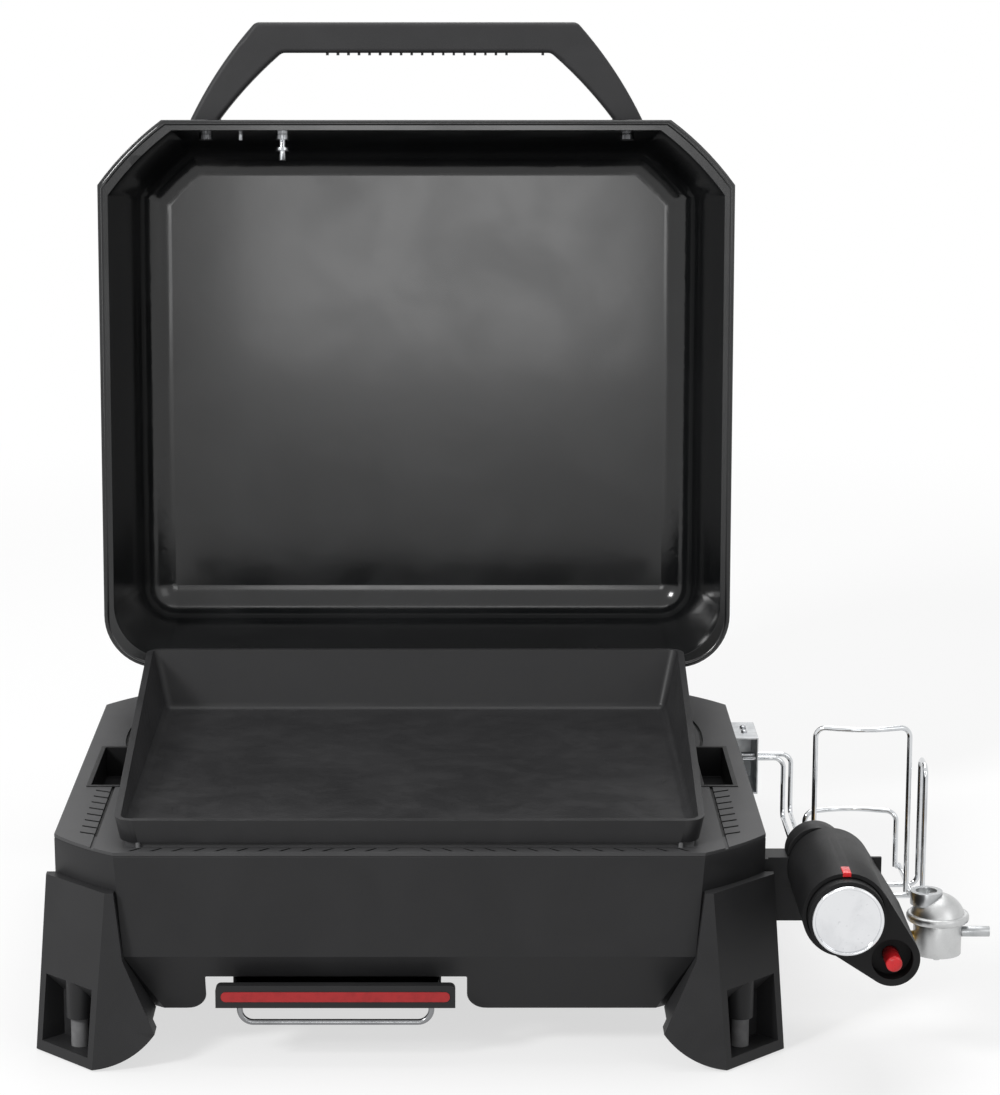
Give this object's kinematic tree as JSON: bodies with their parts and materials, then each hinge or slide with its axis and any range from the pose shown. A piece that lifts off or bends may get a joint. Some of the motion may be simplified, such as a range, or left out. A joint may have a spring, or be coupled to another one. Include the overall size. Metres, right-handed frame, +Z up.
{
  "type": "outdoor gas griddle station",
  "caption": "Portable tabletop gas griddle with its lid open, a grease tray in front, and a gas control with an empty wire cylinder cradle on the right",
  "frame": {"origin": "the middle of the whole object's footprint, on the ground", "axes": "X runs to the right seen from the front, along the lid's hinge line; Y runs from the tray in front to the lid behind; Z runs up"},
  "size_m": [0.7114, 0.7178, 0.728],
  "materials": {
    "deck_grey": "fine textured powder coat, satin",
    "firebox_charcoal": "matte powder coat",
    "griddle_seasoned": "rolled steel plate with a dark seasoned satin surface",
    "lid_enamel": "gloss black porcelain enamel, grey flange",
    "handle_grey": "moulded, slightly rough",
    "leg_charcoal": "moulded, matte",
    "rubber_grey": "matte",
    "pan_dark": "satin black enamel",
    "stripe_red": "plain red, no lettering",
    "loop_steel": "dark grey wire",
    "housing_black": "matte black",
    "knob_black": "matte black",
    "chrome_trim": "bright, bare face",
    "stainless": "drawn stainless tube and rod",
    "screw_zinc": "zinc plated",
    "brass_gas": "turned brass",
    "regulator_grey": "die cast, matte",
    "fitting_zinc": "turned, satin",
    "wire_chrome": "bright wire",
    "box_galvanised": "light galvanised sheet"
  },
  "bodies": {
    "base": {"burner_carrier_left": "stainless", "burner_carrier_right": "stainless", "burner_tube": "stainless", "control_bracket": "firebox_charcoal", "control_housing": "housing_black", "cradle_base_wire": "wire_chrome", "cradle_front_hoop": "wire_chrome", "cradle_hanger_inner": "wire_chrome", "cradle_hanger_outer": "wire_chrome", "cradle_hook_box": "box_galvanised", "cradle_rear_hoop": "wire_chrome", "cradle_side_hoop": "wire_chrome", "deck_plate": "deck_grey", "firebox": "firebox_charcoal", "gas_link": "brass_gas", "griddle_plate": "griddle_seasoned", "grip_cup_left": "leg_charcoal", "grip_cup_right": "leg_charcoal", "hinge_bracket_left": "firebox_charcoal", "hinge_bracket_right": "firebox_charcoal", "hinge_pin_left": "stainless", "hinge_pin_right": "stainless", "hinge_screws": "screw_zinc", "hook_box_rivets": "box_galvanised", "hose_guide": "leg_charcoal", "igniter_module": "leg_charcoal", "index_mark": "stripe_red", "leg_back_left": "leg_charcoal", "leg_back_right": "leg_charcoal", "leg_front_left": "leg_charcoal", "leg_front_right": "leg_charcoal", "leg_screws": "screw_zinc", "plate_pads": "rubber_grey", "regulator_body": "regulator_grey", "regulator_cap": "regulator_grey", "regulator_socket": "fitting_zinc", "regulator_spigot": "fitting_zinc", "rubber_feet": "rubber_grey", "side_screws": "screw_zinc", "tray_rail_left": "firebox_charcoal", "tray_rail_right": "firebox_charcoal", "valve_body": "brass_gas"},
    "lid": {"lid_shell": "lid_enamel", "lid_handle": "handle_grey", "handle_bolts": "screw_zinc", "leaf_screws": "screw_zinc", "lid_catch_bolt": "screw_zinc", "lid_catch_pin": "screw_zinc", "hinge_leaf_left": "firebox_charcoal", "hinge_leaf_right": "firebox_charcoal"},
    "tray": {"grease_pan": "pan_dark", "tray_front_bar": "firebox_charcoal", "tray_stripe": "stripe_red", "tray_pull_loop": "loop_steel"},
    "knob": {"knob_grip": "knob_black", "knob_cap": "chrome_trim", "knob_stem": "stainless"},
    "igniter": {"igniter_button": "stripe_red"}
  },
  "joints": [
    {"name": "lid_hinge", "type": "hinge", "parent": "base", "child": "lid", "pos_m": [-0.07825, 0.20026, 0.1524], "axis": [1, 0, 0], "range_deg": [0, 93]},
    {"name": "tray_slide", "type": "slide", "parent": "base", "child": "tray", "axis": [0, -1, 0], "range_m": [0, 0.25]},
    {"name": "knob_turn", "type": "hinge", "parent": "base", "child": "knob", "pos_m": [0.23275, -0.29194, 0.132], "axis": [0, -1, 0], "range_deg": [0, 150]},
    {"name": "igniter_press", "type": "slide", "parent": "base", "child": "igniter", "axis": [0, 1, 0], "range_m": [0, 0.005], "stiffness_N_per_m": 200}
  ]
}
